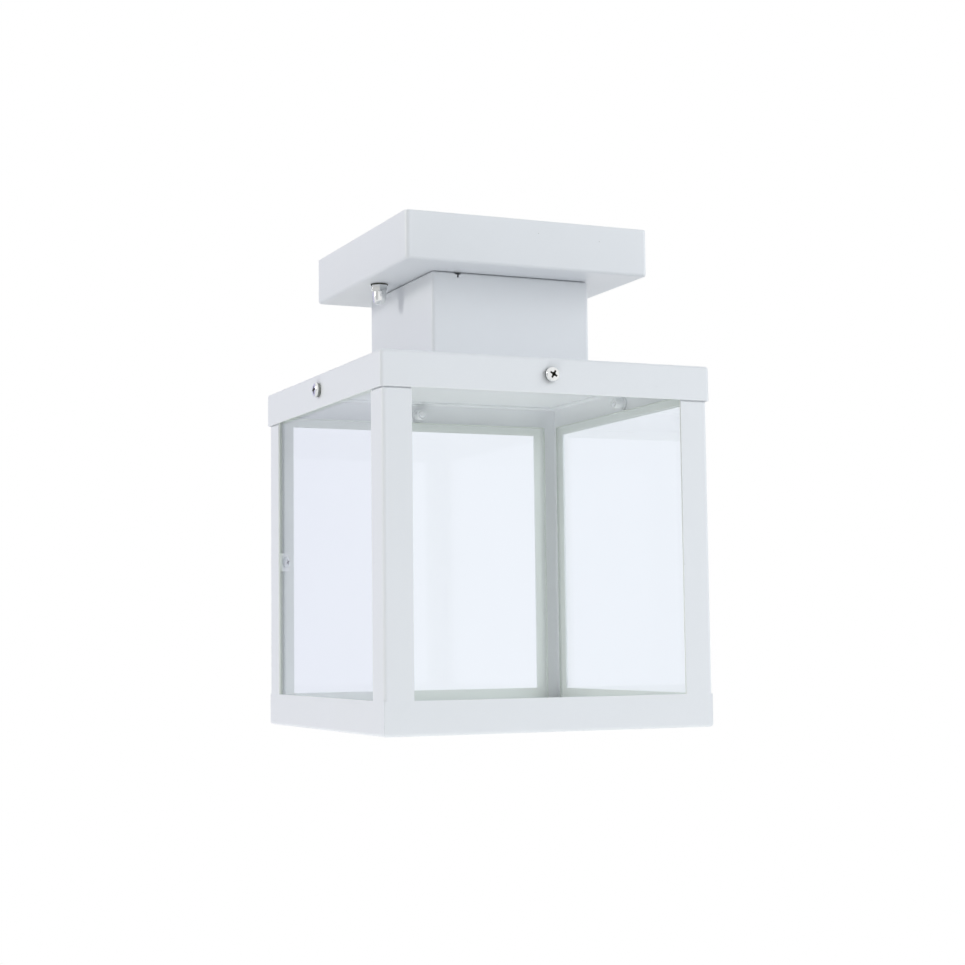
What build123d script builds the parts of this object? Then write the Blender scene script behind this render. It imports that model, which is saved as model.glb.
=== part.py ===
from build123d import *
import os
from math import asin, cos, sin, sqrt

os.makedirs("parts", exist_ok=True)

# A square outdoor ceiling lantern, in millimetres. The ceiling is the plane z = 0 and the lantern
# hangs below it. The front faces -Y, and the two canopy studs stand on the X axis.

# Sheet metal
sheet = 1.0
bend_radius = 1.6
canopy_depth = 25.0
neck_width = 90.5
neck_height = 50.0
roof_play = 0.3
roof_flange = 18.0
roof_opening_play = 2.5

# Cage of posts and rails, which slides up inside the roof's flange
cage_width = 180.0
lantern_height = 261.0
bottom_rail_height = 17.0
top_rail_height = 16.5
top_lip_width = 6.0
post_flange = 15.5
channel_return_height = 6.0

# Glass
glass_thickness = 3.0
glass_end_gap = 9.0
glass_top_lap = 4.5
glass_chamfer = 0.5
glass_outer_play = 0.2
glass_inner_play = 0.4

# Glass clips: one in each of two opposite corners, where it presses the edges of two panes
clip_centre_height = 90.5
clip_height = 10.0
clip_thickness = 0.8
clip_bend_radius = 0.8
clip_lap = 1.7
clip_wing = 1.2
gusset_height = 12.0
gusset_clearance = 0.4
clip_screw_end = 0.5
clip_head_radius = 3.1
clip_head_height = 2.4

# Side screws and the round nuts welded inside the top rails
screw_axis_drop = 8.6
side_screw_radius = 2.0
side_screw_length = 10.0
side_head_radius = 4.0
side_head_height = 3.1
nut_base_radius = 3.9
nut_base_thickness = 1.0
nut_barrel_radius = 3.0
nut_barrel_length = 5.5

# Mounting bar, studs and cap nuts
bar_end_land = 8.0
bar_end_room = 2.5
bar_width = 25.0
bar_thickness = 2.5
slot_spacing = 88.9
slot_length = 14.0
slot_width = 4.6
stud_land = 5.55
stud_radius = 2.5
stud_tip_room = 1.1
stud_nut_flats = 8.0
stud_nut_height = 4.0
washer_radius = 4.6
washer_thickness = 0.8
cap_nut_flats = 8.0
cap_nut_hex_height = 3.7
cap_nut_height = 10.3
cap_nut_neck_radius = 3.8
cap_nut_end_radius = 3.3
cap_nut_end_wall = 2.2
cap_nut_chamfer = 0.4
cap_nut_turn = 12.0
earth_screw_offset = 20.0
earth_head_radius = 4.2
earth_head_height = 2.4

# Threaded pipe through the canopy and the neck, with its nuts
pipe_radius = 5.0
pipe_bore_radius = 3.5
pipe_above_canopy = 9.0
pipe_below_neck_plate = 8.0
pipe_nut_flats = 14.0
pipe_nut_height = 3.2
lock_washer_radius = 8.0
lock_washer_thickness = 1.0
lock_washer_teeth = 10
lock_washer_notch_depth = 1.2
lock_washer_notch_width = 1.6

# Lampholder for a screw base lamp
holder_radius = 19.0
holder_rim_inset = 0.5
holder_rim_fillet = 1.5
socket_radius = 13.1
socket_length = 22.0
socket_wall = 0.5
socket_setback = 2.0
socket_play = 0.4
contact_recess_radius = 8.0
contact_recess_depth = 6.0
contact_width = 5.0
contact_thickness = 0.4
contact_tip_room = 0.6
contact_foot_inset = 1.5
contact_bend_inset = 2.0
contact_tip_inset = 2.5
contact_tip_rise = 2.0
contact_bend_radius = 0.8
bracket_step = 1.0
bracket_thickness = 1.2
bracket_collar_radius = 7.5
bracket_collar_height = 3.0
pipe_recess_play = 1.5
pipe_recess_room = 1.0
holder_screw_offset = 12.5
holder_screw_radius = 1.5
holder_screw_length = 9.0
holder_head_radius = 2.8
holder_head_height = 1.8
terminal_drop = 8.0
terminal_flat = 2.0
terminal_head_radius = 3.2
terminal_head_height = 1.6
terminal_screw_radius = 1.5
terminal_screw_length = 3.5

# Notch in the top edge of the neck's front face
notch_offset = -30.5
notch_width = 3.8
notch_depth = 1.5
notch_stem_width = 1.0
notch_stem_depth = 1.4

# Clearances
thread_clearance = 0.05
hole_clearance = 0.25
stud_hole_clearance = 0.3
recess_overcut = 0.05
cut_margin = 0.2

# Proportions shared by the screws' heads and the nuts
head_edge_share = 0.6
head_round_share = 0.5
recess_width_share = 1.1
recess_slot_share = 0.24
recess_depth_share = 0.7
recess_taper = 8
tip_chamfer_share = 0.25
nut_slope_share = 0.55

# Bar, studs and canopy: the studs stand outside the slots, and the canopy covers the bar
slot_offset = slot_spacing / 2
stud_offset = slot_offset + slot_length / 2 + stud_land
bar_length = 2 * (stud_offset + bar_end_land)
canopy_width = bar_length + 2 * (bar_end_room + sheet)

# Levels and faces worked out from the sizes above
canopy_bottom = -canopy_depth
canopy_floor = canopy_bottom + sheet
neck_plate_bottom = canopy_bottom - sheet
roof_top = canopy_bottom - neck_height
roof_underside = roof_top - sheet
roof_edge = roof_top - roof_flange
cage_top = roof_underside
cage_bottom = -lantern_height
window_top = cage_top - top_rail_height
window_bottom = cage_bottom + bottom_rail_height
post_height = window_top - window_bottom
cage_half = cage_width / 2
cage_inner = cage_half - sheet
glass_outer = cage_inner - glass_outer_play
glass_inner = glass_outer - glass_thickness
channel_return_outer = glass_inner - glass_inner_play
channel_return_inner = channel_return_outer - sheet
glass_bottom = cage_bottom + sheet
glass_top = window_top + glass_top_lap
glass_edge = cage_half - glass_end_gap
screw_level = roof_top - screw_axis_drop
roof_half = cage_half + roof_play + sheet
roof_width = 2 * roof_half
clip_level = cage_bottom + clip_centre_height
washer_bottom = canopy_bottom - washer_thickness
cap_nut_end = washer_bottom - cap_nut_height
cap_bore_end = cap_nut_end + cap_nut_end_wall
stud_end = cap_bore_end + stud_tip_room
pipe_top = canopy_floor + pipe_above_canopy
pipe_bottom = neck_plate_bottom - pipe_below_neck_plate
bracket_top = neck_plate_bottom - pipe_nut_height - bracket_collar_height
holder_top = bracket_top - bracket_thickness
holder_bottom = roof_underside + holder_rim_inset
socket_mouth = holder_bottom + socket_setback
socket_end = socket_mouth + socket_length
cavity_end = socket_end + socket_wall

sides = {"front": 0, "right": 90, "back": 180, "left": 270}
corners = {"front_left": 0, "front_right": 90, "back_right": 180, "back_left": 270}
clip_corners = ("front_right", "back_left")


def save(part, name):
    part.label = name
    export_step(part, f"parts/{name}.step")


# Folded pans: a square tray with its floor at one level and its rim at the other
def folded_pan(width, floor_level, rim_level):
    depth = rim_level - floor_level
    floor_side = Axis.Z if depth > 0 else -Axis.Z
    with BuildPart() as pan:
        with BuildSketch(Plane.XY.offset(floor_level)):
            RectangleRounded(width, width, bend_radius)
        extrude(amount=depth)
        fillet(pan.faces().sort_by(floor_side)[0].edges(), bend_radius)
        offset(amount=-sheet, openings=pan.faces().sort_by(floor_side)[-1])
    return pan.part


# A pan-head screw with a cross recess: its seat is z = 0 and its shank points down
def pan_screw(radius, length, head_radius, head_height):
    edge_height = head_height * head_edge_share
    crown_height = head_height - edge_height
    crown_radius = (head_radius**2 + crown_height**2) / (2 * crown_height)
    crown_centre = head_height - crown_radius
    half_turn = asin(head_radius / crown_radius) / 2
    crown_middle = (crown_radius * sin(half_turn), crown_centre + crown_radius * cos(half_turn))
    recess_width = head_radius * recess_width_share
    recess_slot = head_radius * recess_slot_share
    recess_depth = head_height * recess_depth_share + recess_overcut
    with BuildPart() as screw:
        with BuildSketch(Plane.XZ):
            with BuildLine():
                Line((0, 0), (head_radius, 0))
                Line((head_radius, 0), (head_radius, edge_height))
                ThreePointArc((head_radius, edge_height), crown_middle, (0, head_height))
                Line((0, head_height), (0, 0))
            make_face()
        revolve(axis=Axis.Z)
        crown_edge = screw.edges().filter_by(lambda edge: edge.is_closed).sort_by(Axis.Z)[-1]
        fillet(crown_edge, edge_height * head_round_share)
        with BuildSketch(Plane.XY):
            Circle(radius)
        extrude(amount=-length)
        chamfer(screw.edges().sort_by(Axis.Z)[0], radius * tip_chamfer_share)
        with BuildSketch(Plane.XY.offset(head_height + recess_overcut)):
            Rectangle(recess_width, recess_slot)
            Rectangle(recess_slot, recess_width)
        extrude(amount=-recess_depth, taper=recess_taper, mode=Mode.SUBTRACT)
    return screw.part


# A plain hexagon nut with its lower face at z = 0 and both ends chamfered
def hex_nut(flats, height, bore_radius):
    inner = flats / 2
    corner = flats / sqrt(3)
    slope = (corner - inner) * nut_slope_share
    with BuildPart() as nut:
        with BuildSketch(Plane.XY):
            RegularPolygon(inner, 6, major_radius=False)
            Circle(bore_radius, mode=Mode.SUBTRACT)
        extrude(amount=height)
        with BuildSketch(Plane.XZ):
            with BuildLine():
                Polyline(
                    (0, 0),
                    (inner, 0),
                    (corner, slope),
                    (corner, height - slope),
                    (inner, height),
                    (0, height),
                    close=True,
                )
            make_face()
        revolve(axis=Axis.Z, mode=Mode.INTERSECT)
    return nut.part


# Canopy pan against the ceiling
canopy_shell = folded_pan(canopy_width, canopy_bottom, 0)
with BuildPart() as canopy_pan:
    add(canopy_shell)
    with BuildSketch(Plane.XY.offset(canopy_bottom)):
        with Locations((-stud_offset, 0), (stud_offset, 0)):
            Circle(stud_radius + stud_hole_clearance)
        Circle(pipe_radius + hole_clearance)
    extrude(amount=sheet, mode=Mode.SUBTRACT)
save(canopy_pan.part, "canopy_pan")

# Mounting bar, which is screwed to the ceiling box through its two slots
with BuildPart() as mounting_bar:
    with BuildSketch(Plane.XY):
        RectangleRounded(bar_length, bar_width, bend_radius)
        with Locations((-slot_offset, 0), (slot_offset, 0)):
            SlotOverall(slot_length, slot_width, mode=Mode.SUBTRACT)
        with Locations((-stud_offset, 0), (stud_offset, 0)):
            Circle(stud_radius + thread_clearance, mode=Mode.SUBTRACT)
        with Locations((earth_screw_offset, 0)):
            Circle(side_screw_radius + thread_clearance, mode=Mode.SUBTRACT)
    extrude(amount=-bar_thickness)
save(mounting_bar.part, "mounting_bar")

# Studs that hang from the bar through the canopy
with BuildPart() as canopy_studs:
    with BuildSketch(Plane.XY):
        with Locations((-stud_offset, 0), (stud_offset, 0)):
            Circle(stud_radius)
    extrude(amount=stud_end)
    chamfer(canopy_studs.edges().group_by(Axis.Z)[0], stud_radius * tip_chamfer_share)
save(canopy_studs.part, "canopy_studs")

# Nuts that lock the studs under the bar
stud_nut = hex_nut(stud_nut_flats, stud_nut_height, stud_radius + thread_clearance)
with BuildPart() as stud_lock_nuts:
    with Locations(
        (-stud_offset, 0, -bar_thickness - stud_nut_height),
        (stud_offset, 0, -bar_thickness - stud_nut_height),
    ):
        add(stud_nut)
save(stud_lock_nuts.part, "stud_lock_nuts")

# Earth screw, up into the bar from below
earth_screw = pan_screw(side_screw_radius, bar_thickness, earth_head_radius, earth_head_height)
earth_seat = Plane((earth_screw_offset, 0, -bar_thickness), x_dir=(1, 0, 0), z_dir=(0, 0, -1))
save(earth_screw.moved(earth_seat.location), "earth_screw")

# Washers under the canopy
with BuildPart() as stud_washers:
    with BuildSketch(Plane.XY.offset(washer_bottom)):
        with Locations((-stud_offset, 0), (stud_offset, 0)):
            Circle(washer_radius)
            Circle(stud_radius + hole_clearance, mode=Mode.SUBTRACT)
    extrude(amount=washer_thickness)
save(stud_washers.part, "stud_washers")

# Cap nuts: a hexagon with a round end below it and a blind thread from above
hex_bottom = washer_bottom - cap_nut_hex_height
end_centre = cap_nut_end + cap_nut_end_radius
cap_corner = cap_nut_flats / sqrt(3)
end_slant = cap_nut_end_radius * sqrt(0.5)
with BuildPart() as cap_nut:
    with BuildSketch(Plane.XY.offset(washer_bottom)):
        RegularPolygon(cap_nut_flats / 2, 6, major_radius=False, rotation=cap_nut_turn)
    extrude(amount=-cap_nut_hex_height)
    with BuildSketch(Plane.XZ):
        with BuildLine():
            Polyline(
                (0, washer_bottom),
                (cap_corner, washer_bottom),
                (cap_corner, hex_bottom + cap_nut_chamfer),
                (cap_nut_flats / 2, hex_bottom),
                (0, hex_bottom),
                close=True,
            )
        make_face()
    revolve(axis=Axis.Z, mode=Mode.INTERSECT)
    with BuildSketch(Plane.XZ):
        with BuildLine():
            Polyline(
                (0, hex_bottom),
                (cap_nut_neck_radius, hex_bottom),
                (cap_nut_end_radius, end_centre),
            )
            ThreePointArc(
                (cap_nut_end_radius, end_centre),
                (end_slant, end_centre - end_slant),
                (0, cap_nut_end),
            )
            Line((0, cap_nut_end), (0, hex_bottom))
        make_face()
    revolve(axis=Axis.Z)
    with BuildSketch(Plane.XY.offset(washer_bottom)):
        Circle(stud_radius + thread_clearance)
    extrude(amount=cap_bore_end - washer_bottom, mode=Mode.SUBTRACT)
save(cap_nut.part.moved(Location((-stud_offset, 0, 0))), "cap_nut_left")
save(cap_nut.part.moved(Location((stud_offset, 0, 0))), "cap_nut_right")

# Neck: a square can, open below, with a small notch in the top edge of its front face
neck_shell = folded_pan(neck_width, canopy_bottom, roof_top)
with BuildPart() as neck_tube:
    add(neck_shell)
    with BuildSketch(Plane.XY.offset(canopy_bottom)):
        Circle(pipe_radius + hole_clearance)
    extrude(amount=-sheet, mode=Mode.SUBTRACT)
    with BuildSketch(Plane.XZ.offset(neck_width / 2)):
        with BuildLine():
            Polyline(
                (notch_offset - notch_width / 2, canopy_bottom),
                (notch_offset + notch_width / 2, canopy_bottom),
                (notch_offset + notch_stem_width / 2, canopy_bottom - notch_depth),
                (notch_offset + notch_stem_width / 2, canopy_bottom - notch_depth - notch_stem_depth),
                (notch_offset - notch_stem_width / 2, canopy_bottom - notch_depth - notch_stem_depth),
                (notch_offset - notch_stem_width / 2, canopy_bottom - notch_depth),
                close=True,
            )
        make_face()
    extrude(amount=-bend_radius, mode=Mode.SUBTRACT)
save(neck_tube.part, "neck_tube")

# Threaded pipe that clamps canopy, neck and lampholder together, open for the wires
with BuildPart() as threaded_pipe:
    with BuildSketch(Plane.XY.offset(pipe_bottom)):
        Circle(pipe_radius)
        Circle(pipe_bore_radius, mode=Mode.SUBTRACT)
    extrude(amount=pipe_top - pipe_bottom)
save(threaded_pipe.part, "threaded_pipe")

pipe_nut = hex_nut(pipe_nut_flats, pipe_nut_height, pipe_radius + thread_clearance)
with BuildPart() as pipe_nuts:
    with Locations(
        (0, 0, canopy_floor + lock_washer_thickness),
        (0, 0, neck_plate_bottom - pipe_nut_height),
    ):
        add(pipe_nut)
save(pipe_nuts.part, "pipe_nuts")

with BuildPart() as pipe_lock_washer:
    with BuildSketch(Plane.XY.offset(canopy_floor)):
        Circle(lock_washer_radius)
        Circle(pipe_radius + hole_clearance, mode=Mode.SUBTRACT)
        with PolarLocations(lock_washer_radius, lock_washer_teeth):
            Rectangle(lock_washer_notch_depth * 2, lock_washer_notch_width, mode=Mode.SUBTRACT)
    extrude(amount=lock_washer_thickness)
save(pipe_lock_washer.part, "pipe_lock_washer")

# Roof tray, open below, with the hole for the lampholder and one screw hole in each flange
roof_shell = folded_pan(roof_width, roof_top, roof_edge)
with BuildPart() as roof_tray:
    add(roof_shell)
    with BuildSketch(Plane.XY.offset(roof_top)):
        Circle(holder_radius + roof_opening_play)
    extrude(amount=-sheet, mode=Mode.SUBTRACT)
    for side_plane in (Plane.XZ, Plane.YZ):
        with BuildSketch(side_plane):
            with Locations((0, screw_level)):
                Circle(side_screw_radius + hole_clearance)
        extrude(amount=roof_width, both=True, mode=Mode.SUBTRACT)
save(roof_tray.part, "roof_tray")

# Lampholder bracket: a disc with a collar that screws on the pipe
with BuildPart() as lampholder_bracket:
    with BuildSketch(Plane.XY.offset(holder_top)):
        Circle(holder_radius - bracket_step)
    extrude(amount=bracket_thickness)
    with BuildSketch(Plane.XY.offset(bracket_top)):
        Circle(bracket_collar_radius)
    extrude(amount=bracket_collar_height)
    with BuildSketch(Plane.XY.offset(holder_top)):
        Circle(pipe_radius + thread_clearance)
    extrude(amount=bracket_thickness + bracket_collar_height, mode=Mode.SUBTRACT)
    with BuildSketch(Plane.XY.offset(holder_top)):
        with Locations((-holder_screw_offset, 0), (holder_screw_offset, 0)):
            Circle(holder_screw_radius + hole_clearance)
    extrude(amount=bracket_thickness, mode=Mode.SUBTRACT)
save(lampholder_bracket.part, "lampholder_bracket")

# Lampholder body: porcelain, with the socket's cavity below and the terminals on two flats
terminal_level = holder_top - terminal_drop
flat_face_at = holder_radius - terminal_flat
with BuildPart() as lampholder_body:
    with BuildSketch(Plane.XY.offset(holder_bottom)):
        Circle(holder_radius)
    extrude(amount=holder_top - holder_bottom)
    fillet(lampholder_body.edges().group_by(Axis.Z)[0], holder_rim_fillet)
    with BuildSketch(Plane.XY.offset(holder_bottom)):
        Circle(socket_radius + socket_wall + socket_play)
    extrude(amount=cavity_end - holder_bottom, mode=Mode.SUBTRACT)
    with BuildSketch(Plane.XY.offset(cavity_end)):
        Circle(contact_recess_radius)
    extrude(amount=contact_recess_depth, mode=Mode.SUBTRACT)
    with BuildSketch(Plane.XY.offset(holder_top)):
        Circle(pipe_radius + pipe_recess_play)
    extrude(amount=pipe_bottom - holder_top - pipe_recess_room, mode=Mode.SUBTRACT)
    with BuildSketch(Plane.XY.offset(holder_top)):
        with Locations((-holder_screw_offset, 0), (holder_screw_offset, 0)):
            Circle(holder_screw_radius + thread_clearance)
    extrude(amount=-holder_screw_length, mode=Mode.SUBTRACT)
    with BuildSketch(Plane.XY.offset(terminal_level)):
        with Locations((0, flat_face_at + terminal_flat), (0, -flat_face_at - terminal_flat)):
            Rectangle(holder_radius * 2, terminal_flat * 2)
    extrude(amount=holder_radius, both=True, mode=Mode.SUBTRACT)
    with BuildSketch(Plane.XZ):
        with Locations((0, terminal_level)):
            Circle(terminal_screw_radius + thread_clearance)
    extrude(amount=holder_radius, both=True, mode=Mode.SUBTRACT)
save(lampholder_body.part, "lampholder_body")

# Screw shell: the lamp's base goes up into it
with BuildPart() as socket_shell:
    with BuildSketch(Plane.XY.offset(socket_mouth)):
        Circle(socket_radius + socket_wall)
    extrude(amount=cavity_end - socket_mouth)
    with BuildSketch(Plane.XY.offset(socket_mouth)):
        Circle(socket_radius)
    extrude(amount=socket_length, mode=Mode.SUBTRACT)
    with BuildSketch(Plane.XY.offset(socket_end)):
        Circle(contact_recess_radius)
    extrude(amount=socket_wall, mode=Mode.SUBTRACT)
save(socket_shell.part, "socket_shell")

# Spring contact: a bent strip riveted at the end of the recess
recess_end = cavity_end + contact_recess_depth
contact_tip = socket_end + contact_tip_room
with BuildPart() as socket_contact:
    with BuildSketch(Plane.XZ.offset(-contact_width / 2)):
        with BuildLine():
            FilletPolyline(
                (-contact_recess_radius + contact_foot_inset, recess_end),
                (contact_recess_radius - contact_bend_inset, recess_end),
                (0, contact_tip),
                (-contact_recess_radius + contact_tip_inset, contact_tip + contact_tip_rise),
                radius=contact_bend_radius,
            )
            offset(amount=contact_thickness, side=Side.LEFT)
        make_face()
    extrude(amount=contact_width)
save(socket_contact.part, "socket_contact")

# Screws that hold the bracket on the body
holder_screw = pan_screw(holder_screw_radius, holder_screw_length, holder_head_radius, holder_head_height)
with BuildPart() as lampholder_screws:
    with Locations((-holder_screw_offset, 0, bracket_top), (holder_screw_offset, 0, bracket_top)):
        add(holder_screw)
save(lampholder_screws.part, "lampholder_screws")

# Terminal screws, one for each supply lead
terminal_screw = pan_screw(
    terminal_screw_radius, terminal_screw_length, terminal_head_radius, terminal_head_height
)
front_terminal = Plane((0, -flat_face_at, terminal_level), x_dir=(1, 0, 0), z_dir=(0, -1, 0))
back_terminal = Plane((0, flat_face_at, terminal_level), x_dir=(1, 0, 0), z_dir=(0, 1, 0))
with BuildPart() as terminal_screws:
    with Locations(front_terminal.location, back_terminal.location):
        add(terminal_screw)
save(terminal_screws.part, "terminal_screws")

# Bottom rails: a channel that holds the foot of each pane, mitred at both ends
mitre = [(-cage_half, -cage_half), (cage_half, -cage_half), (0, 0)]
with BuildPart() as bottom_rail:
    with BuildSketch(Plane.YZ.offset(-cage_half)):
        with BuildLine():
            FilletPolyline(
                (-cage_half, window_bottom),
                (-cage_half, cage_bottom),
                (-channel_return_inner, cage_bottom),
                (-channel_return_inner, cage_bottom + channel_return_height),
                radius=bend_radius,
            )
            offset(amount=sheet, side=Side.LEFT)
        make_face()
    extrude(amount=cage_width)
    with BuildSketch(Plane.XY.offset(cage_bottom)):
        Polygon(*mitre, align=None)
    extrude(amount=bottom_rail_height, mode=Mode.INTERSECT)
for side, turn in sides.items():
    save(bottom_rail.part.rotate(Axis.Z, turn), f"bottom_rail_{side}")

# Top rails: an angle whose lip lies under the roof, with the side screw's hole, mitred too
with BuildPart() as top_rail:
    with BuildSketch(Plane.YZ.offset(-cage_half)):
        with BuildLine():
            FilletPolyline(
                (-cage_half, window_top),
                (-cage_half, cage_top),
                (-cage_half + top_lip_width, cage_top),
                radius=bend_radius,
            )
            offset(amount=sheet, side=Side.RIGHT)
        make_face()
    extrude(amount=cage_width)
    with BuildSketch(Plane.XY.offset(window_top)):
        Polygon(*mitre, align=None)
    extrude(amount=top_rail_height, mode=Mode.INTERSECT)
    with BuildSketch(Plane.XZ.offset(cage_half)):
        with Locations((0, screw_level)):
            Circle(side_screw_radius + hole_clearance)
    extrude(amount=-sheet, mode=Mode.SUBTRACT)
for side, turn in sides.items():
    save(top_rail.part.rotate(Axis.Z, turn), f"top_rail_{side}")

# Corner posts: a folded angle. Two of them have a small web across the corner for a clip's screw
gusset_sum = cage_inner + glass_edge + gusset_clearance
clip_bend = glass_edge - clip_lap
clip_sum = clip_bend + glass_inner
clip_wing_end = clip_bend - clip_wing
clip_to_gusset = (gusset_sum - clip_sum) / sqrt(2)
corner_face = Plane(
    (-gusset_sum / 2, -gusset_sum / 2, clip_level), x_dir=(1, -1, 0), z_dir=(1, 1, 0)
)
with BuildPart() as corner_post:
    with BuildSketch(Plane.XY.offset(window_bottom)):
        with BuildLine():
            FilletPolyline(
                (-cage_half + post_flange, -cage_half),
                (-cage_half, -cage_half),
                (-cage_half, -cage_half + post_flange),
                radius=bend_radius,
            )
            offset(amount=sheet, side=Side.RIGHT)
        make_face()
    extrude(amount=post_height)
with BuildPart() as clip_post:
    add(corner_post.part)
    with BuildSketch(Plane.XY.offset(clip_level - gusset_height / 2)):
        with BuildLine():
            Polyline(
                (-cage_inner, cage_inner - gusset_sum),
                (cage_inner - gusset_sum, -cage_inner),
                (cage_inner - gusset_sum - sheet * sqrt(2), -cage_inner),
                (-cage_inner, cage_inner - gusset_sum - sheet * sqrt(2)),
                close=True,
            )
        make_face()
    extrude(amount=gusset_height)
    with BuildSketch(corner_face):
        Circle(holder_screw_radius + thread_clearance)
    extrude(amount=-sheet - cut_margin, mode=Mode.SUBTRACT)
for corner, turn in corners.items():
    post = clip_post if corner in clip_corners else corner_post
    save(post.part.rotate(Axis.Z, turn), f"corner_post_{corner}")

# Glass clips: a bent strip whose wings press the edges of two panes
clip_face = Plane(
    (-clip_sum / 2, -clip_sum / 2, clip_level), x_dir=(1, -1, 0), z_dir=(1, 1, 0)
)
with BuildPart() as glass_clip:
    with BuildSketch(Plane.XY.offset(clip_level - clip_height / 2)):
        with BuildLine():
            FilletPolyline(
                (-clip_wing_end, -glass_inner),
                (-clip_bend, -glass_inner),
                (-glass_inner, -clip_bend),
                (-glass_inner, -clip_wing_end),
                radius=clip_bend_radius,
            )
            offset(amount=clip_thickness, side=Side.RIGHT)
        make_face()
    extrude(amount=clip_height)
    with BuildSketch(clip_face):
        Circle(holder_screw_radius + hole_clearance)
    extrude(amount=clip_thickness + cut_margin, mode=Mode.SUBTRACT)
with BuildPart() as glass_clips:
    for corner in clip_corners:
        add(glass_clip.part.rotate(Axis.Z, corners[corner]))
save(glass_clips.part, "glass_clips")

clip_screw_length = clip_thickness + clip_to_gusset + sheet + clip_screw_end
clip_screw = pan_screw(holder_screw_radius, clip_screw_length, clip_head_radius, clip_head_height)
clip_seat = clip_face.offset(clip_thickness)
placed_clip_screw = clip_screw.moved(clip_seat.location)
with BuildPart() as clip_screws:
    for corner in clip_corners:
        add(placed_clip_screw.rotate(Axis.Z, corners[corner]))
save(clip_screws.part, "clip_screws")

# Glass panes, which stand in the bottom rails behind the posts
with BuildPart() as glass_pane:
    with BuildSketch(Plane.XY.offset(glass_bottom)):
        with Locations((0, -(glass_outer + glass_inner) / 2)):
            Rectangle(2 * glass_edge, glass_thickness)
    extrude(amount=glass_top - glass_bottom)
    chamfer(glass_pane.edges().filter_by(GeomType.LINE), glass_chamfer)
for side, turn in sides.items():
    save(glass_pane.part.rotate(Axis.Z, turn), f"glass_{side}")

# Round nuts welded inside the top rails
with BuildPart() as weld_nut:
    with BuildSketch(Plane.XZ.offset(cage_inner)):
        with Locations((0, screw_level)):
            Circle(nut_base_radius)
    extrude(amount=-nut_base_thickness)
    with BuildSketch(Plane.XZ.offset(cage_inner)):
        with Locations((0, screw_level)):
            Circle(nut_barrel_radius)
    extrude(amount=-nut_base_thickness - nut_barrel_length)
    with BuildSketch(Plane.XZ.offset(cage_inner)):
        with Locations((0, screw_level)):
            Circle(side_screw_radius + thread_clearance)
    extrude(amount=-nut_base_thickness - nut_barrel_length, mode=Mode.SUBTRACT)
with BuildPart() as weld_nuts:
    with PolarLocations(0, len(sides)):
        add(weld_nut.part)
save(weld_nuts.part, "weld_nuts")

# Side screws, which hold the cage in the roof
side_screw = pan_screw(side_screw_radius, side_screw_length, side_head_radius, side_head_height)
side_seat = Plane((0, -roof_half, screw_level), x_dir=(1, 0, 0), z_dir=(0, -1, 0))
placed_side_screw = side_screw.moved(side_seat.location)
for side, turn in sides.items():
    save(placed_side_screw.rotate(Axis.Z, turn), f"side_screw_{side}")
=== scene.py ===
from math import ceil, pi, radians, sqrt

import bmesh
import bpy
from mathutils import Matrix, Vector


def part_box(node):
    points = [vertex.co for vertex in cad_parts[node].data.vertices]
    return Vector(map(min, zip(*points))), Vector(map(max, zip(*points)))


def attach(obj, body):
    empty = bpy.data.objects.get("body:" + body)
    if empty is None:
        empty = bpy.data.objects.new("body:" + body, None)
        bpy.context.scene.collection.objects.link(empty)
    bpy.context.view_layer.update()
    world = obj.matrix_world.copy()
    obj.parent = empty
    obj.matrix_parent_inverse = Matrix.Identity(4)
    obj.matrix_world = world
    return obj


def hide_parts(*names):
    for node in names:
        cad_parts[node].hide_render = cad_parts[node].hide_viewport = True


# A square outdoor ceiling lantern. Each piece is shaped in millimetres and set down in metres where
# the frame has it: the ceiling is z = 0, the front faces -Y and the canopy studs stand on the X axis.
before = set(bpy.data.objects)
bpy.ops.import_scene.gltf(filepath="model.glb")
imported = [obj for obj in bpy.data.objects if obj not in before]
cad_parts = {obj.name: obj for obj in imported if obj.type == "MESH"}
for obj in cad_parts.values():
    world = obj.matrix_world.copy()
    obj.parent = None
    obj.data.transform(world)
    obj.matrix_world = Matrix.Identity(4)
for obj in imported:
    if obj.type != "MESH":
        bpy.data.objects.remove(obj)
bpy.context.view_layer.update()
mm = 0.001

# Sheet metal
sheet = 1.0
bend_radius = 1.6
canopy_corner_radius = 2.4
pan_corner_radius = 2.0
post_bend_radius = 2.0
bottom_lip = 6.0
neck_gap = 0.2
edge_round = 0.2
mitre_round = 0.14

# Seams at the roof's corners, and the rebate round the posts under the roof's lower edge
seam_width = 0.3
seam_depth = 0.2
rebate_depth = 0.6
rebate_drop = 0.7

# Notch in the top edge of the neck's front: a wide mouth that slopes in to a narrow stem
notch_x = -30.5
mouth_width = 3.9
mouth_depth = 1.0
slope_depth = 1.5
stem_width = 1.0
stem_depth = 2.9

# Glass clips, one in each of two opposite corners, and the gussets that hold them on the posts
clip_corners = ("front_right", "back_left")
clip_lap = 1.7
clip_wing = 1.2
clip_thickness = 0.8
pane_clearance = 0.4
gusset_width = 10.2
gusset_height = 12.0

# Threads, each with its radius and pitch, and a thread's depth as a share of its pitch
side_thread = (2.0, 0.7)
clip_thread = (1.5, 0.5)
stud_thread = (2.5, 0.8)
pipe_thread = (5.0, 1.0)
thread_share = 0.61

# Bores and holes: how far they clear the thread inside them, and two plain ones
bore_clearance = 0.05
hole_clearance = 0.25
stud_hole_clearance = 0.3
roof_opening = 21.5
pipe_bore = 3.5

# Screws: length under the head, then the head's radius and height where no box gives them
side_screw_length = 10.0
earth_screw_length = 2.5
earth_head_radius = 4.2
clip_screw_length = 6.0
clip_head_height = 2.37
holder_screw_size = (9.0, 2.8, 1.8)
terminal_screw_size = (3.5, 3.2, 1.58)

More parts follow.
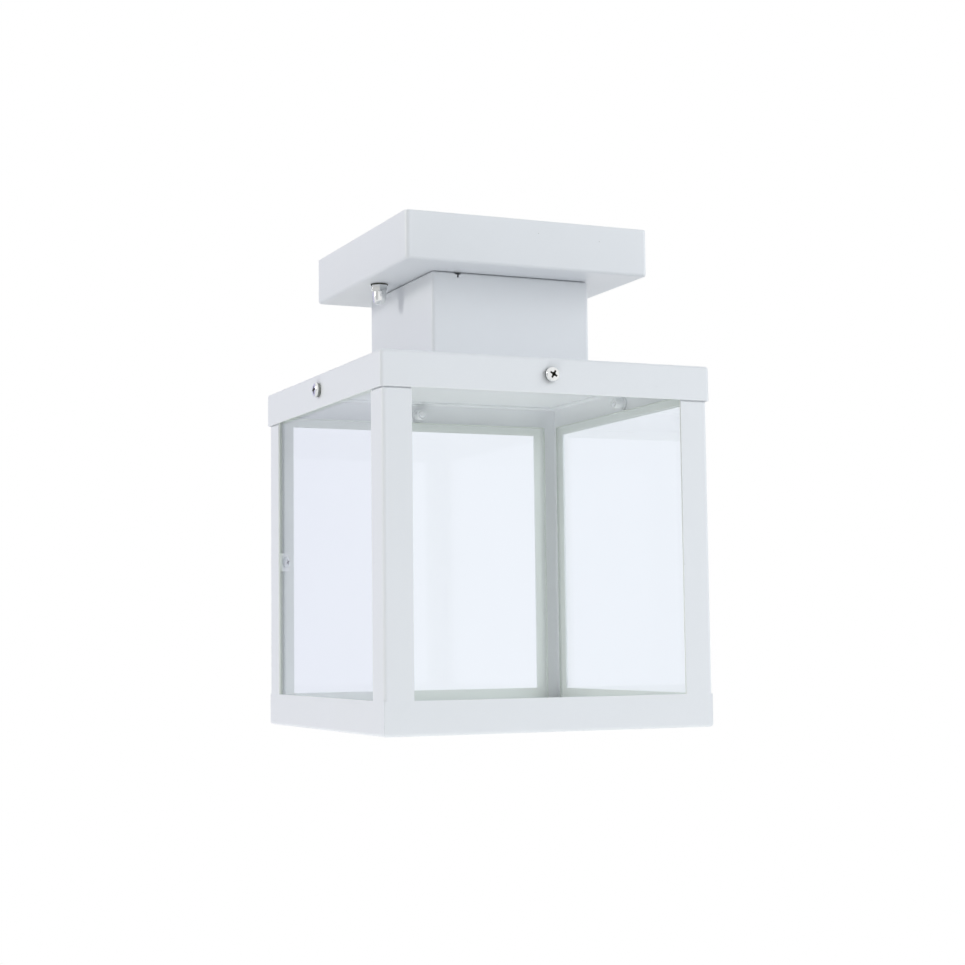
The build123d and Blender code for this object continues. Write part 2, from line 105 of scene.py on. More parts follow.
# Turn of each cross recess and of the cap nuts, as the tool left them, in degrees
recess_turn = {"front": -30, "right": 17, "back": 41, "left": 8}
clip_recess_turn = 12
earth_recess_turn = 23
cap_nut_turn = 12

# Nuts
stud_nut_flats = 8.0
cap_hexagon_height = 3.7
pipe_nut_flats = 14.0
pipe_nut_height = 3.2
weld_flange_radius = 3.9
weld_flange_height = 1.0
weld_barrel_radius = 3.0
weld_length = 6.5

# Lampholder
lamp_pitch = 3.63
lamp_wave = 0.5
shell_sheet = 0.35
shell_rim = 0.15
cavity_radius = 14.0
contact_recess_radius = 8.0
contact_recess_height = 6.0
pipe_recess_radius = 6.5
waist_height = 11.0
flat_depth = 2.0
bracket_thickness = 1.2
holder_screw_x = 12.5
holder_hole_depth = 9.0
terminal_hole_foot = 13.0

# Camera at the photograph's view
camera_place = (-0.4046, -0.9215, -0.2160)
camera_yaw = 23.808
camera_pitch = 4.874
camera_roll = -0.664
camera_lens = 69.44

# Studio, in metres
lantern_middle = Vector((0, 0, -0.14))
floor_radius = 3.6
floor_level = -1.75
warm_light = (1.0, 0.995, 0.965)
cool_light = (0.93, 0.97, 1.0)

# Points this near each other become one, the wider distance where a shape repeats its own points
merge_distance = 1e-4
wide_merge_distance = 1e-3

# How near its plane a cut takes in points, and the least length of an edge
hair = 1e-5

# How far a cutting tool runs past what it cuts, and how far from the middle it is out of the lantern
overrun = 1.0
outside = 100.0

# Turns of a piece that was made for the front side or the front left corner
sides = {"front": 0, "right": 90, "back": 180, "left": 270}
corners = {"front_left": 0, "front_right": 90, "back_right": 180, "back_left": 270}


def box(node):
    """A CAD node's lowest and highest corners, in millimetres."""
    low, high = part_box(node)
    return low / mm, high / mm


def centre(node):
    """The middle of a CAD node's box, in millimetres."""
    low, high = box(node)
    return (low + high) / 2


# Levels and faces, read from the frame
canopy_low, canopy_high = box("canopy_pan")
neck_low, neck_high = box("neck_tube")
roof_low, roof_high = box("roof_tray")
bottom_low, bottom_high = box("bottom_rail_front")
top_low, top_high = box("top_rail_front")
post_low, post_high = box("corner_post_front_left")
glass_low, glass_high = box("glass_front")
clip_low, clip_high = box("glass_clips")
side_low, side_high = box("side_screw_front")
cap_low, cap_high = box("cap_nut_right")
cage_half = bottom_high.x
post_edge = post_high.x
glass_inner = -glass_high.y
stud_x = centre("cap_nut_right").x
screw_level = centre("side_screw_front").z
clip_level = centre("glass_clips").z


# Places and turns
def shift(x=0.0, y=0.0, z=0.0):
    return Matrix.Translation((x, y, z))


def turn_z(degrees):
    return Matrix.Rotation(radians(degrees), 4, "Z")


head_down = Matrix.Rotation(pi, 4, "X")
head_to_front = Matrix.Rotation(pi / 2, 4, "X")
head_to_back = Matrix.Rotation(-pi / 2, 4, "X")
both_studs = [shift(x=-stud_x), shift(x=stud_x)]
both_holder_screws = [shift(x=-holder_screw_x), shift(x=holder_screw_x)]


# Mesh tools
def wire(bm, points):
    """Vertices along an open line, with an edge between each two."""
    made = [bm.verts.new(point) for point in points]
    for start, end in zip(made, made[1:]):
        bm.edges.new((start, end))
    return made


def bevel(bm, parts, size, steps, affect="EDGES"):
    bmesh.ops.bevel(
        bm, geom=parts, offset=size, offset_type="OFFSET", segments=steps, profile=0.5,
        affect=affect, clamp_overlap=True, material=-1,
    )


def block(low, high):
    """A block between two corners, to be shaped further."""
    bm = bmesh.new()
    low, high = Vector(low), Vector(high)
    place = Matrix.Translation((low + high) / 2) @ Matrix.Diagonal((*(high - low), 1))
    bmesh.ops.create_cube(bm, size=1, matrix=place)
    return bm


def turned(outline, steps=48, closed=False):
    """A piece turned about Z from (radius, level, rounding) corners, as on a lathe."""
    bm = bmesh.new()
    made = wire(bm, [(radius, 0, level) for radius, level, _ in outline])
    if closed:
        bm.edges.new((made[-1], made[0]))
    for corner, (_, _, rounding) in zip(made, outline):
        if rounding:
            bevel(bm, [corner], rounding, 5, "VERTICES")
    bmesh.ops.spin(
        bm, geom=bm.verts[:] + bm.edges[:], cent=(0, 0, 0), axis=(0, 0, 1), dvec=(0, 0, 0),
        angle=2 * pi, steps=steps, use_merge=True,
    )
    bmesh.ops.remove_doubles(bm, verts=bm.verts[:], dist=merge_distance)
    bmesh.ops.recalc_face_normals(bm, faces=bm.faces[:])
    return bm


def helix(bm, pitch, turns, steps, merge=merge_distance):
    """Sweeps a profile one pitch high up a helix about Z, and joins each turn to the next."""
    bmesh.ops.spin(
        bm, geom=bm.verts[:] + bm.edges[:], cent=(0, 0, 0), axis=(0, 0, 1),
        dvec=(0, 0, pitch / steps), angle=2 * pi * turns, steps=steps * turns,
    )
    bmesh.ops.remove_doubles(bm, verts=bm.verts[:], dist=merge)


def split(bm, point, normal, drop=False):
    """Adds edges where a plane crosses a body, and can drop what lies on the normal's side."""
    return bmesh.ops.bisect_plane(
        bm, geom=bm.verts[:] + bm.edges[:] + bm.faces[:], dist=hair, plane_co=point,
        plane_no=normal, clear_outer=drop,
    )["geom_cut"]


def trim(bm, point, normal):
    """Cuts off what lies on the normal's side of a plane, and closes the cut."""
    cut = split(bm, point, normal, drop=True)
    bmesh.ops.edgeloop_fill(bm, edges=[part for part in cut if isinstance(part, bmesh.types.BMEdge)])


def upright(edge):
    return abs(edge.verts[0].co.z - edge.verts[1].co.z) > 1


def at_level(edge, level):
    return all(abs(vert.co.z - level) < 0.01 for vert in edge.verts)


def soften(bm, size, chosen=None, angle=40, steps=2):
    """Rounds the sharp edges a little, as paint or plating leaves them."""
    bm.normal_update()
    sharp = [
        edge for edge in bm.edges
        if len(edge.link_faces) == 2 and edge.calc_face_angle() > radians(angle)
        and (chosen is None or chosen(edge))
    ]
    bevel(bm, sharp, size, steps)


def moved(bm, matrix):
    bmesh.ops.transform(bm, matrix=matrix, verts=bm.verts[:])
    return bm


def together(*parts):
    """Several bodies in one mesh."""
    whole = bmesh.new()
    for part in parts:
        mesh = bpy.data.meshes.new("loose")
        part.to_mesh(mesh)
        part.free()
        whole.from_mesh(mesh)
        bpy.data.meshes.remove(mesh)
    return whole


def copies(bm, matrices):
    """The same body at several places, in one mesh."""
    return together(*[moved(bm.copy(), matrix) for matrix in matrices])


def carved(bm, tool, operation="DIFFERENCE"):
    """A body after a solid tool is cut from it, or after only what both share is kept."""
    things = []
    for shape in (bm, tool):
        mesh = bpy.data.meshes.new("blank")
        shape.to_mesh(mesh)
        shape.free()
        things.append(bpy.data.objects.new("blank", mesh))
        bpy.context.scene.collection.objects.link(things[-1])
    cut = things[0].modifiers.new("cut", "BOOLEAN")
    cut.operation = operation
    cut.solver = "EXACT"
    cut.use_self = True
    cut.object = things[1]
    bpy.context.view_layer.update()
    result = bmesh.new()
    shown = things[0].evaluated_get(bpy.context.evaluated_depsgraph_get())
    result.from_mesh(shown.to_mesh())
    shown.to_mesh_clear()
    for thing in things:
        mesh = thing.data
        bpy.data.objects.remove(thing)
        bpy.data.meshes.remove(mesh)
    bmesh.ops.remove_doubles(result, verts=result.verts[:], dist=merge_distance)
    return result


def settle(bm, name, nodes, slot, finishes, body="lantern", smooth=50):
    """Sets a shaped body down as a piece that stands for its CAD nodes and rides on their body."""
    bmesh.ops.remove_doubles(bm, verts=bm.verts[:], dist=merge_distance)
    bmesh.ops.dissolve_degenerate(bm, edges=bm.edges[:], dist=hair)
    bmesh.ops.recalc_face_normals(bm, faces=bm.faces[:])
    bmesh.ops.scale(bm, vec=(mm, mm, mm), verts=bm.verts[:])
    mesh = bpy.data.meshes.new(name)
    bm.to_mesh(mesh)
    bm.free()
    for material in finishes:
        mesh.materials.append(material)
    mesh.shade_smooth()
    mesh.set_sharp_from_angle(angle=radians(smooth))
    piece = bpy.data.objects.new(name, mesh)
    bpy.context.scene.collection.objects.link(piece)
    piece.modifiers.new("even shading", "WEIGHTED_NORMAL").keep_sharp = True
    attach(piece, body)
    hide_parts(*nodes)


def settle_copy(node, name, rounding, slot, finishes):
    """Sets down a CAD node's own shape, its triangles joined into faces and its edges rounded."""
    bm = bmesh.new()
    bm.from_mesh(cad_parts[node].data)
    bmesh.ops.scale(bm, vec=Vector((1, 1, 1)) / mm, verts=bm.verts[:])
    bmesh.ops.remove_doubles(bm, verts=bm.verts[:], dist=wide_merge_distance)
    bmesh.ops.dissolve_limit(bm, angle_limit=radians(0.5), verts=bm.verts[:], edges=bm.edges[:])
    soften(bm, rounding)
    settle(bm, name, [node], slot, finishes)


# Node tools
def add(tree, kind, values=None, **settings):
    """A node with its settings and its plain values."""
    made = tree.nodes.new(kind)
    for name, value in settings.items():
        setattr(made, name, value)
    for name, value in (values or {}).items():
        made.inputs[name].default_value = value
    return made


def link(tree, source, target):
    tree.links.new(source, target)


def shader_group(name, takes, gives):
    """An empty node group with its named sockets, and its two end nodes."""
    tree = bpy.data.node_groups.new(name, "ShaderNodeTree")
    kinds = {float: "NodeSocketFloat", tuple: "NodeSocketColor"}
    for label, value in takes.items():
        socket = tree.interface.new_socket(label, in_out="INPUT", socket_type=kinds[type(value)])
        socket.default_value = value
    for label, kind in gives.items():
        tree.interface.new_socket(label, in_out="OUTPUT", socket_type=kind)
    return tree, tree.nodes.new("NodeGroupInput"), tree.nodes.new("NodeGroupOutput")


def blend_colours(tree, factor, first, second):
    """The output of a colour mix of two sockets by a third."""
    mix = add(tree, "ShaderNodeMix", data_type="RGBA")
    link(tree, factor, mix.inputs[0])
    link(tree, first, mix.inputs[6])
    link(tree, second, mix.inputs[7])
    return mix.outputs[2]


def blend_shaders(tree, factor, first, second):
    """The output of a mix of two shaders by a socket."""
    mix = add(tree, "ShaderNodeMixShader")
    link(tree, factor, mix.inputs[0])
    link(tree, first, mix.inputs[1])
    link(tree, second, mix.inputs[2])
    return mix.outputs[0]


def reckon(tree, operation, first, second):
    """The output of a sum on two sockets or numbers."""
    node = add(tree, "ShaderNodeMath", operation=operation)
    for socket, value in zip(node.inputs, (first, second)):
        if isinstance(value, float):
            socket.default_value = value
        else:
            link(tree, value, socket)
    return node.outputs[0]


def spread(tree, source, low, high, start, end):
    """A value moved from one range to another, and held inside it."""
    node = add(tree, "ShaderNodeMapRange")
    for index, value in enumerate((source, low, high, start, end)):
        if isinstance(value, float):
            node.inputs[index].default_value = value
        else:
            link(tree, value, node.inputs[index])
    return node.outputs[0]


def colour_ramp(tree, value, *stops):
    """A ramp through (position, colour) stops, read at a value."""
    ramp = add(tree, "ShaderNodeValToRGB")
    for place, colour in stops[1:-1]:
        ramp.color_ramp.elements.new(place).color = (*colour, 1)
    for end, (place, colour) in ((0, stops[0]), (-1, stops[-1])):
        ramp.color_ramp.elements[end].position = place
        ramp.color_ramp.elements[end].color = (*colour, 1)
    link(tree, value, ramp.inputs[0])
    return ramp.outputs[0]


def facing(tree, way, direction):
    """How nearly a way points along a direction, from -1 to 1."""
    unit = Vector(direction).normalized()
    node = add(tree, "ShaderNodeVectorMath", {1: unit}, operation="DOT_PRODUCT")
    link(tree, way, node.inputs[0])
    return node.outputs["Value"]


def dimmed(tree, colour, share):
    """A colour scaled down by a share."""
    node = add(tree, "ShaderNodeVectorMath", operation="SCALE")
    link(tree, colour, node.inputs[0])
    link(tree, share, node.inputs["Scale"])
    return node.outputs[0]


# Surface effects that several finishes share
def coat_surface():
    """Grain, haze and specks of a coat or glaze."""
    tree, takes, gives = shader_group(
        "coat_surface",
        {
            "Colour": (0.8, 0.8, 0.8, 1.0), "Haze": (0.7, 0.7, 0.7, 1.0), "Speck": (0.2, 0.2, 0.18, 1.0),
            "Haze scale": 9.0, "Grain scale": 700.0, "Grain depth": 0.00002, "Speck scale": 200.0,
            "Speck share": 0.2, "Gloss low": 0.3, "Gloss high": 0.42,
        },
        {"Colour": "NodeSocketColor", "Roughness": "NodeSocketFloat", "Normal": "NodeSocketVector"},
    )
    place = add(tree, "ShaderNodeTexCoord").outputs["Object"]
    grain = add(tree, "ShaderNodeTexNoise", {"Detail": 3.0, "Roughness": 0.45})
    haze = add(tree, "ShaderNodeTexNoise", {"Detail": 4.0, "Roughness": 0.6})
    specks = add(tree, "ShaderNodeTexVoronoi")
    for node, scale in ((grain, "Grain scale"), (haze, "Haze scale"), (specks, "Speck scale")):
        link(tree, place, node.inputs["Vector"])
        link(tree, takes.outputs[scale], node.inputs["Scale"])
    haze_share = spread(tree, haze.outputs["Fac"], 0.35, 0.75, 0.0, 1.0)
    speck_pick = add(tree, "ShaderNodeSeparateColor")
    link(tree, specks.outputs["Color"], speck_pick.inputs[0])
    few = reckon(tree, "LESS_THAN", speck_pick.outputs[0], takes.outputs["Speck share"])
    near = spread(tree, specks.outputs["Distance"], 0.03, 0.06, 1.0, 0.0)
    speck_share = reckon(tree, "MULTIPLY", few, near)
    hazed = blend_colours(tree, haze_share, takes.outputs["Colour"], takes.outputs["Haze"])
    specked = blend_colours(tree, speck_share, hazed, takes.outputs["Speck"])
    link(tree, specked, gives.inputs["Colour"])
    gloss = spread(
        tree, haze.outputs["Fac"], 0.3, 0.7, takes.outputs["Gloss low"], takes.outputs["Gloss high"]
    )
    link(tree, gloss, gives.inputs["Roughness"])
    peel = add(tree, "ShaderNodeBump", {"Strength": 1.0})
    link(tree, grain.outputs["Fac"], peel.inputs["Height"])
    link(tree, takes.outputs["Grain depth"], peel.inputs["Distance"])
    link(tree, peel.outputs[0], gives.inputs["Normal"])
    return tree


def metal_surface():
    """Fine scratches and dull patches of plated or plain metal."""
    tree, takes, gives = shader_group(
        "metal_surface",
        {
            "Colour": (0.7, 0.7, 0.7, 1.0), "Dull": (0.5, 0.5, 0.5, 1.0), "Patch scale": 160.0,
            "Scratch scale": 900.0, "Scratch depth": 0.000004, "Polish low": 0.12, "Polish high": 0.3,
        },
        {"Colour": "NodeSocketColor", "Roughness": "NodeSocketFloat", "Normal": "NodeSocketVector"},
    )
    place = add(tree, "ShaderNodeTexCoord").outputs["Object"]
    slant = add(tree, "ShaderNodeMapping", {"Rotation": (0.6, 0.4, 0.9), "Scale": (0.06, 1.0, 1.0)})
    scratches = add(tree, "ShaderNodeTexNoise", {"Detail": 2.0, "Roughness": 0.7})
    patches = add(tree, "ShaderNodeTexNoise", {"Detail": 5.0, "Roughness": 0.65})
    link(tree, place, slant.inputs["Vector"])
    link(tree, slant.outputs[0], scratches.inputs["Vector"])
    link(tree, place, patches.inputs["Vector"])
    link(tree, takes.outputs["Scratch scale"], scratches.inputs["Scale"])
    link(tree, takes.outputs["Patch scale"], patches.inputs["Scale"])
    patch_share = spread(tree, patches.outputs["Fac"], 0.4, 0.7, 0.0, 1.0)
    rub_share = spread(tree, scratches.outputs["Fac"], 0.35, 0.65, 0.0, 1.0)
    marks = reckon(tree, "MULTIPLY_ADD", patch_share, 0.6)
    link(tree, reckon(tree, "MULTIPLY", rub_share, 0.4), marks.node.inputs[2])
    patched = blend_colours(tree, patch_share, takes.outputs["Colour"], takes.outputs["Dull"])
    link(tree, patched, gives.inputs["Colour"])
    polish = spread(tree, marks, 0.0, 1.0, takes.outputs["Polish low"], takes.outputs["Polish high"])
    link(tree, polish, gives.inputs["Roughness"])
    rub = add(tree, "ShaderNodeBump", {"Strength": 1.0})
    link(tree, scratches.outputs["Fac"], rub.inputs["Height"])
    link(tree, takes.outputs["Scratch depth"], rub.inputs["Distance"])
    link(tree, rub.outputs[0], gives.inputs["Normal"])
    return tree


coat = coat_surface()
metal = metal_surface()


def finish(name, effect, values, **sockets):
    """A material whose colour, roughness and bump come from one of the effects above."""
    material = bpy.data.materials.new(name)
    material.use_nodes = True
    tree = material.node_tree
    shader = tree.nodes["Principled BSDF"]
    for label, value in sockets.items():
        shader.inputs[label.replace("_", " ")].default_value = value
    surface = add(tree, "ShaderNodeGroup", node_tree=effect)
    for label, value in values.items():
        surface.inputs[label].default_value = value
    link(tree, surface.outputs["Colour"], shader.inputs["Base Color"])
    link(tree, surface.outputs["Roughness"], shader.inputs["Roughness"])
    link(tree, surface.outputs["Normal"], shader.inputs["Normal"])
    return material


white_coat = finish("white_coat", coat, {
    "Colour": (0.835, 0.852, 0.878, 1), "Haze": (0.82, 0.837, 0.86, 1), "Speck": (0.5, 0.52, 0.5, 1),
    "Haze scale": 14.0, "Grain scale": 650.0, "Grain depth": 0.00003, "Speck share": 0.03,
    "Gloss low": 0.3, "Gloss high": 0.4,
})
porcelain = finish("white_porcelain", coat, {
    "Colour": (0.80, 0.79, 0.75, 1), "Haze": (0.77, 0.755, 0.70, 1), "Speck": (0.3, 0.26, 0.2, 1),
    "Haze scale": 60.0, "Grain scale": 220.0, "Grain depth": 0.00004, "Speck scale": 330.0,
    "Speck share": 0.2, "Gloss low": 0.08, "Gloss high": 0.18,
}, Coat_Weight=0.5, Coat_Roughness=0.05)
rubber = finish("black_rubber_ring", coat, {
    "Colour": (0.035, 0.035, 0.022, 1), "Haze": (0.06, 0.06, 0.045, 1), "Speck": (0.12, 0.12, 0.11, 1),
    "Haze scale": 300.0, "Grain scale": 2500.0, "Grain depth": 0.00002, "Speck scale": 900.0,
    "Speck share": 0.2, "Gloss low": 0.55, "Gloss high": 0.75,
})
nickel = finish("bright_nickel_plate", metal, {
    "Colour": (0.84, 0.85, 0.85, 1), "Dull": (0.76, 0.77, 0.77, 1), "Patch scale": 130.0,
    "Scratch scale": 1600.0, "Scratch depth": 0.0000004, "Polish low": 0.13, "Polish high": 0.22,
}, Metallic=1.0)
# Painted shade: a dark nickel for the lower half of a screw head's rim, where the head meets the roof
painted_rim_shade = finish("nickel_rim_painted_shade", metal, {
    "Colour": (0.30, 0.31, 0.29, 1), "Dull": (0.22, 0.23, 0.21, 1), "Patch scale": 400.0,
    "Scratch scale": 1600.0, "Scratch depth": 0.000001, "Polish low": 0.25, "Polish high": 0.4,
}, Metallic=1.0)
# Painted shade: a near-black metal for the inside of each cross recess
recess = finish("painted_recess_shade", metal, {
    "Colour": (0.10, 0.105, 0.075, 1), "Dull": (0.05, 0.05, 0.035, 1), "Patch scale": 900.0,
    "Scratch scale": 2600.0, "Scratch depth": 0.000002, "Polish low": 0.35, "Polish high": 0.6,
}, Metallic=0.7)
zinc = finish("zinc_plate", metal, {
    "Colour": (0.72, 0.74, 0.76, 1), "Dull": (0.60, 0.62, 0.62, 1), "Patch scale": 140.0,
    "Scratch scale": 1500.0, "Scratch depth": 0.000003, "Polish low": 0.24, "Polish high": 0.42,
}, Metallic=1.0)
brass = finish("yellow_brass", metal, {
    "Colour": (0.80, 0.60, 0.28, 1), "Dull": (0.58, 0.42, 0.2, 1), "Patch scale": 260.0,
    "Scratch scale": 1800.0, "Scratch depth": 0.000002, "Polish low": 0.14, "Polish high": 0.34,
}, Metallic=1.0)
green_dye = finish("green_dyed_plate", metal, {
    "Colour": (0.05, 0.34, 0.12, 1), "Dull": (0.03, 0.22, 0.08, 1), "Patch scale": 300.0,
    "Scratch scale": 1800.0, "Scratch depth": 0.000002, "Polish low": 0.22, "Polish high": 0.4,
}, Metallic=0.85)
ground_edge = finish("ground_glass_edge", coat, {
    "Colour": (0.80, 0.84, 0.82, 1), "Haze": (0.74, 0.79, 0.76, 1), "Speck": (0.88, 0.9, 0.88, 1),
    "Haze scale": 120.0, "Grain scale": 2600.0, "Grain depth": 0.00002, "Speck scale": 600.0,
    "Speck share": 0.3, "Gloss low": 0.35, "Gloss high": 0.55,
}, Transmission_Weight=0.45, IOR=1.5)


def float_glass():
    """Clear glass: lamps and diffuse light pass straight through, and its depth turns green."""
    material = finish("clear_float_glass", coat, {
        "Colour": (0.937, 0.957, 0.992, 1), "Haze": (0.93, 0.95, 0.985, 1), "Speck": (0.78, 0.82, 0.83, 1),
        "Haze scale": 12.0, "Grain scale": 30.0, "Grain depth": 0.000001, "Speck scale": 150.0,
        "Speck share": 0.05, "Gloss low": 0.0, "Gloss high": 0.0,
    }, Transmission_Weight=1.0, IOR=1.5)
    tree = material.node_tree
    shader = tree.nodes["Principled BSDF"]
    tree.links.remove(shader.inputs["Roughness"].links[0])
    shader.inputs["Roughness"].default_value = 0.0
    path = add(tree, "ShaderNodeLightPath")
    through = add(tree, "ShaderNodeBsdfTransparent", {"Color": (1.0, 1.0, 0.96, 1)})
    depth = add(tree, "ShaderNodeVolumeAbsorption", {"Color": (0.74, 0.86, 0.79, 1), "Density": 9.0})
    lit = shader.outputs[0]
    for ray in ("Is Diffuse Ray", "Is Shadow Ray"):
        lit = blend_shaders(tree, path.outputs[ray], lit, through.outputs[0])
    output = tree.nodes["Material Output"]
    link(tree, lit, output.inputs["Surface"])
    link(tree, depth.outputs[0], output.inputs["Volume"])
    return material


clear_glass = float_glass()

# Record slot and finishes of the pieces that are alike
painted = ("white_powder_coat", [white_coat])
bright = ("bright_nickel", [nickel])
plated = ("zinc_plated_steel", [zinc])
plated_screw = ("zinc_plated_steel", [zinc, recess])


# Folded pans: canopy, neck and roof
def folded_pan(half, floor, rim, corner_radius):
    """A square pan bent from sheet, with its floor and its open rim at two levels.

    It is quartered across its floor, so that no face goes all round a hole.
    """
    bm = block((-half, -half, min(floor, rim)), (half, half, max(floor, rim)))
    open_side = [face for face in bm.faces if abs(face.calc_center_median().z - rim) < 0.01]
    bmesh.ops.delete(bm, geom=open_side, context="FACES")
    bevel(bm, [edge for edge in bm.edges if upright(edge)], corner_radius, 8)
    bevel(bm, [edge for edge in bm.edges if at_level(edge, floor)], bend_radius, 6)
    bmesh.ops.solidify(bm, geom=bm.faces[:], thickness=sheet)
    for across in ((1, 0, 0), (0, 1, 0)):
        split(bm, (0, 0, 0), across)
    return bm


def rod(radius, low, high, steps=48, way="Z"):
    """A plain round tool for cutting holes."""
    bm = bmesh.new()
    lie = {
        "X": Matrix.Rotation(pi / 2, 4, "Y"), "Y": Matrix.Rotation(pi / 2, 4, "X"), "Z": Matrix(),
    }[way]
    bmesh.ops.create_cone(
        bm, cap_ends=True, segments=steps, radius1=radius, radius2=radius, depth=high - low,
        matrix=lie @ shift(z=(low + high) / 2),
    )
    return bm


def floor_hole(radius, level, steps=48):
    """A round tool that goes right through a pan's floor."""
    return rod(radius, level - 3 * sheet, level + 3 * sheet, steps)


def side_hole(low, high, way):
    """A round tool at the side screws' level."""
    return moved(rod(side_thread[0] + hole_clearance, low, high, 32, way), shift(z=screw_level))


def corner_seams(half, low, high):
    """Thin upright blades that open a seam along the four corners of a folded pan."""
    blade = block((-seam_depth, -seam_width / 2, low), (seam_depth, seam_width / 2, high))
    bevel(blade, [edge for edge in blade.edges if upright(edge)], 0.1, 2)
    corner = half - pan_corner_radius * (1 - 1 / sqrt(2))
    return copies(blade, [turn_z(turn) @ shift(corner, corner) @ turn_z(45) for turn in sides.values()])


pipe_hole = pipe_thread[0] + hole_clearance
canopy = folded_pan(canopy_high.x, canopy_low.z, canopy_high.z, canopy_corner_radius)
soften(canopy, edge_round)
stud_holes = copies(floor_hole(stud_thread[0] + stud_hole_clearance, canopy_low.z), both_studs)
canopy = carved(canopy, together(stud_holes, floor_hole(pipe_hole, canopy_low.z)))
settle(canopy, "canopy_cover", ["canopy_pan"], *painted)

neck = folded_pan(neck_high.x, neck_high.z - neck_gap, neck_low.z, pan_corner_radius)
soften(neck, edge_round, lambda edge: at_level(edge, neck_low.z))
notch = block((-stem_width / 2, -2.5, -stem_depth), (stem_width / 2, 5, overrun))
for notch_level in (-slope_depth, -mouth_depth):
    split(notch, (0, 0, notch_level), (0, 0, 1))
mouth = [vert for vert in notch.verts if vert.co.z > 0.1 - slope_depth]
bmesh.ops.scale(notch, vec=(mouth_width / stem_width, 1, 1), verts=mouth)
moved(notch, shift(notch_x, -neck_high.x, neck_high.z))
neck = carved(neck, together(floor_hole(pipe_hole, neck_high.z), notch))
settle(neck, "neck_box", ["neck_tube"], *painted)

roof = folded_pan(roof_high.x, roof_high.z, roof_low.z, pan_corner_radius)
soften(roof, edge_round, lambda edge: at_level(edge, roof_low.z))
roof = carved(roof, together(
    corner_seams(roof_high.x, roof_low.z - overrun, roof_high.z - bend_radius),
    floor_hole(roof_opening, roof_high.z, 96),
    side_hole(-outside, outside, "X"),
    side_hole(-outside, outside, "Y"),
))
settle(roof, "roof_cover", ["roof_tray"], *painted)


# Rails and posts, folded from strip
def folded_strip(line, along, thickness=sheet, radius=bend_radius):
    """A strip bent along an open line of points and drawn out, its outer face towards the front.

    The thickness lies behind that face.
    """
    bm = bmesh.new()
    made = wire(bm, line)
    for corner in made[1:-1]:
        bevel(bm, [corner], radius, 6, "VERTICES")
    drawn = bmesh.ops.extrude_edge_only(bm, edges=bm.edges[:])
    far = [part for part in drawn["geom"] if isinstance(part, bmesh.types.BMVert)]
    bmesh.ops.translate(bm, verts=far, vec=along)
    bmesh.ops.recalc_face_normals(bm, faces=bm.faces[:])
    bm.normal_update()
    if made[0].link_faces[0].normal.y > 0:
        bmesh.ops.reverse_faces(bm, faces=bm.faces[:])
    bmesh.ops.solidify(bm, geom=bm.faces[:], thickness=thickness)
    return bm


def mitred(bm, joint_level):
    """Cuts both ends of a rail at 45 degrees. Its edge stays crisp where a post stands on it."""
    for way in (-1, 1):
        trim(bm, (0, 0, 0), (way, 1, 0))
        split(bm, (way * -post_edge, 0, 0), (1, 0, 0))
    bmesh.ops.recalc_face_normals(bm, faces=bm.faces[:])

    def free(edge):
        middle = (edge.verts[0].co + edge.verts[1].co) / 2
        on_joint = abs(middle.z - joint_level) < 0.01
        return not (on_joint and abs(middle.x) > -post_edge)

    soften(bm, mitre_round, free)
    return bm


def bottom_rail():
    end = -cage_half - overrun
    line = [
        (end, -cage_half, bottom_high.z), (end, -cage_half, bottom_low.z),
        (end, bottom_high.y, bottom_low.z), (end, bottom_high.y, bottom_low.z + bottom_lip),
    ]
    return mitred(folded_strip(line, (-2 * end, 0, 0)), bottom_high.z)


def top_rail():
    end = -cage_half - overrun
    line = [
        (end, -cage_half, top_low.z), (end, -cage_half, top_high.z), (end, top_high.y, top_high.z),
    ]
    bm = mitred(folded_strip(line, (-2 * end, 0, 0)), top_low.z)
    return carved(bm, side_hole(cage_half - 10, outside, "Y"))


def corner_post(holds_clip):
    """The front left post, with its rebate. One that holds a clip has a gusset across its corner."""
    line = [
        (post_edge, -cage_half, post_low.z), (-cage_half, -cage_half, post_low.z),
        (-cage_half, post_edge, post_low.z),
    ]
    bm = folded_strip(line, (0, 0, post_high.z - post_low.z), radius=post_bend_radius)
    soften(bm, mitre_round, upright)
    near, far = -cage_half - overrun, post_edge + overrun
    back = rebate_depth - cage_half
    foot, top = roof_low.z - rebate_drop, post_high.z + overrun
    bm = carved(bm, block((near, near, foot), (far, back, top)))
    # The second cut starts a little lower, so that it doesn't end in the first one's face
    bm = carved(bm, block((near, near, foot - 1e-3), (back, far, top + overrun)))
    if not holds_clip:
        return bm
    gusset = block((-gusset_width / 2, -sheet / 2, clip_level - gusset_height / 2),
                   (gusset_width / 2, sheet / 2, clip_level + gusset_height / 2))
    soften(gusset, mitre_round)
    corner = (glass_low.x - cage_half + sheet - pane_clearance - sheet / sqrt(2)) / 2
    return together(bm, moved(gusset, shift(corner, corner) @ turn_z(-45)))


for side, turn in sides.items():
    settle(moved(bottom_rail(), turn_z(turn)), f"{side}_bottom_rail", [f"bottom_rail_{side}"], *painted)
    settle(moved(top_rail(), turn_z(turn)), f"{side}_top_rail", [f"top_rail_{side}"], *painted)
for corner, turn in corners.items():
    post = moved(corner_post(corner in clip_corners), turn_z(turn))
    settle(post, f"{corner}_post", [f"corner_post_{corner}"], *painted)


# Glass panes
def glass_pane():
    """The front pane, with its edges ground. The second finish is on all but its two large faces."""
    bm = block(glass_low, glass_high)
    bevel(bm, bm.edges[:], 0.5, 1)
    bm.normal_update()
    for face in bm.faces:
        face.material_index = int(abs(face.normal.y) < 0.99)
    return bm


for side, turn in sides.items():
    settle(moved(glass_pane(), turn_z(turn)), f"{side}_pane", [f"glass_{side}"],
           "clear_glass", [clear_glass, ground_edge], smooth=20)


